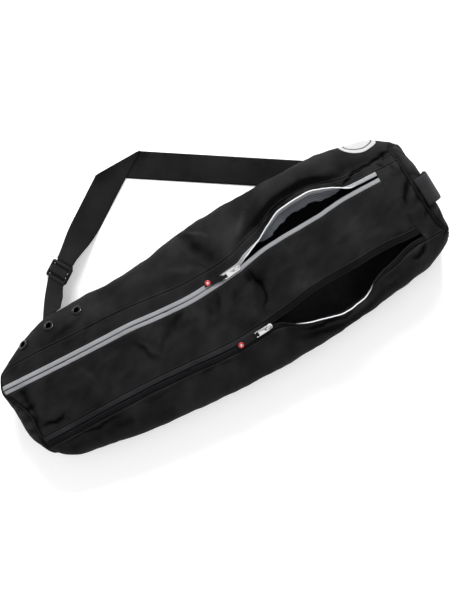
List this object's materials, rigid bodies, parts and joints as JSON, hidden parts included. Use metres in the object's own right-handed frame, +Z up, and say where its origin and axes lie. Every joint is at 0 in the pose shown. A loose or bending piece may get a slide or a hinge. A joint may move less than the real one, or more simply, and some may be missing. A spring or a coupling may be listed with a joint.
{
  "type": "yoga mat bag",
  "caption": "Long soft bag for a rolled yoga mat, lying with its main zip and pocket zip part open, with a shoulder strap and an end handle.",
  "frame": {"origin": "on the flat back that the bag rests on, at the middle of its length and width", "axes": "+X along the bag towards the handle end, +Y to the side the shoulder strap is on, +Z up out of the front"},
  "size_m": [0.8126, 0.4566, 0.1345],
  "materials": {
    "shell_cloth": "matte, tightly woven nylon canvas",
    "cap_cloth": "matte, tightly woven nylon canvas",
    "grey_zip_tape": "satin knitted tape with a raised coil",
    "black_zip_tape": "matte knitted tape with a raised coil",
    "zip_metal": "nickel plate with light wear",
    "tab_webbing": "matte narrow webbing",
    "rivet_enamel": "gloss red enamel with a bare pale centre",
    "eyelet_metal": "nickel plate with light wear",
    "strap_webbing": "satin ribbed webbing",
    "adjuster_plastic": "moulded acetal",
    "handle_webbing": "satin ribbed webbing",
    "print": "printed cloth disc, matte"
  },
  "bodies": {
    "bag": {"back_panel": "shell_cloth", "front_panel": "shell_cloth", "lower_side_panel": "shell_cloth", "upper_side_panel": "shell_cloth", "zip_placket": "shell_cloth", "end_cap_top": "cap_cloth", "end_cap_base": "cap_cloth", "main_zip_closed_upper": "grey_zip_tape", "main_zip_closed_lower": "grey_zip_tape", "main_zip_open_upper": "grey_zip_tape", "main_zip_open_lower": "grey_zip_tape", "pocket_zip_closed_upper": "black_zip_tape", "pocket_zip_closed_lower": "black_zip_tape", "pocket_zip_open_upper": "black_zip_tape", "pocket_zip_open_lower": "black_zip_tape", "main_zip_slider": "zip_metal", "pocket_zip_slider": "zip_metal", "eyelet_1": "eyelet_metal", "eyelet_2": "eyelet_metal", "eyelet_3": "eyelet_metal", "shoulder_strap": "strap_webbing", "strap_adjuster": "adjuster_plastic", "end_handle": "handle_webbing", "side_patch": "print"},
    "main_pull": {"main_zip_puller": "zip_metal", "main_pull_tab": "tab_webbing", "main_tab_rivet": "rivet_enamel"},
    "pocket_pull": {"pocket_zip_puller": "zip_metal", "pocket_pull_tab": "tab_webbing", "pocket_tab_rivet": "rivet_enamel"}
  },
  "joints": [
    {"name": "main_pull_hinge", "type": "hinge", "parent": "bag", "child": "main_pull", "pos_m": [0.0408, 0.03612, 0.12604], "axis": [-0.1028, 0.9926, -0.0648], "range_deg": [0, 170]},
    {"name": "pocket_pull_hinge", "type": "hinge", "parent": "bag", "child": "pocket_pull", "pos_m": [0.04081, -0.07392, 0.12143], "axis": [-0.0657, 0.9803, 0.1864], "range_deg": [0, 170]}
  ]
}
